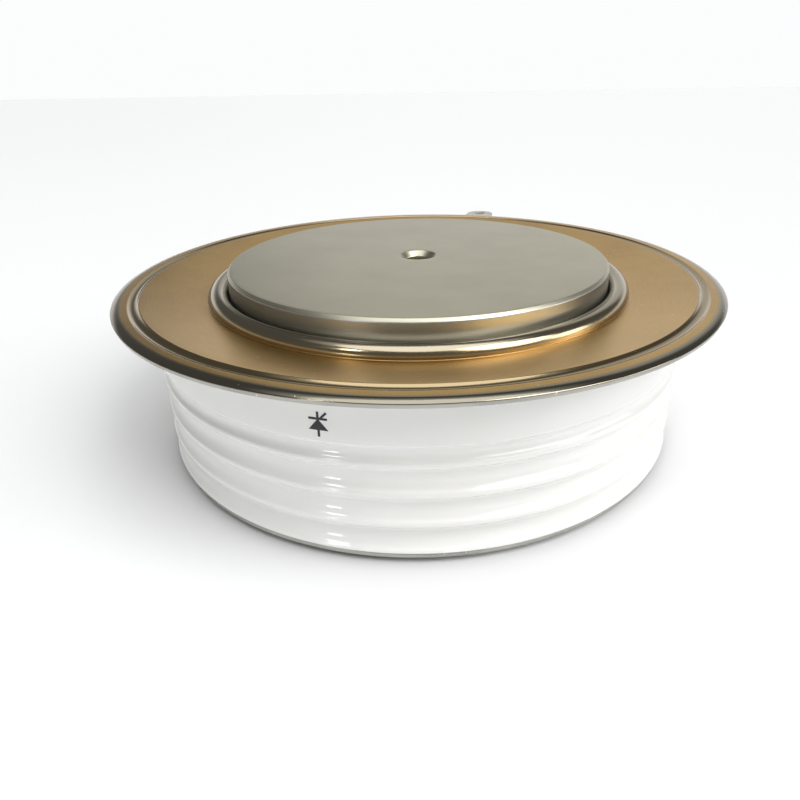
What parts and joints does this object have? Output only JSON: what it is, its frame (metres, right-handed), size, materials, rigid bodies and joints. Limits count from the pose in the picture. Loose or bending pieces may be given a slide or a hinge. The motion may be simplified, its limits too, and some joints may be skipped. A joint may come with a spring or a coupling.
{
  "type": "disc thyristor",
  "caption": "Press-pack disc thyristor: ribbed glazed ceramic ring between two flat copper pole faces, wide welded metal rim, gate tube and cathode lug at the back.",
  "frame": {"origin": "centre of the anode contact face", "axes": "+Z runs from the anode contact face to the cathode contact face; -Y is the side seen in the picture; the cathode lug and the gate terminal lie towards +Y"},
  "size_m": [0.075, 0.0812, 0.022],
  "materials": {
    "pole_nickel": "fine satin nickel plate on copper",
    "flange_nickel": "bright satin nickel with a warm bronze cast",
    "seal_alloy": "dull nickel-plated sheet",
    "glazed_ceramic": "white glaze",
    "terminal_nickel": "bright nickel",
    "silver": "soft silver foil",
    "molybdenum": "lapped grey metal",
    "silicon": "polished dark grey",
    "silicone_rubber": "red-brown silicone rubber",
    "white_plastic": "white heat-proof plastic",
    "spring_steel": "drawn wire",
    "lead_wire": "silver-plated copper wire",
    "marking_ink": "black fired print of a circuit symbol"
  },
  "bodies": {
    "root": {"anode_pole_piece": "pole_nickel", "anode_sealing_flange": "seal_alloy", "ceramic_housing": "glazed_ceramic", "upper_weld_ring": "flange_nickel", "cathode_cap": "flange_nickel", "cathode_pole_piece": "pole_nickel", "anode_silver_foil": "silver", "anode_molybdenum_disc": "molybdenum", "silicon_wafer": "silicon", "edge_coating": "silicone_rubber", "cathode_molybdenum_disc": "molybdenum", "cathode_silver_foil": "silver", "centring_ring": "white_plastic", "gate_insulator_cup": "white_plastic", "gate_spring": "spring_steel", "gate_pin": "lead_wire", "gate_guide_sleeve": "white_plastic", "gate_lead": "lead_wire", "gate_lead_sleeve": "white_plastic", "gate_tube": "terminal_nickel", "gate_terminal": "terminal_nickel", "auxiliary_cathode_lug": "terminal_nickel"}
  },
  "joints": []
}
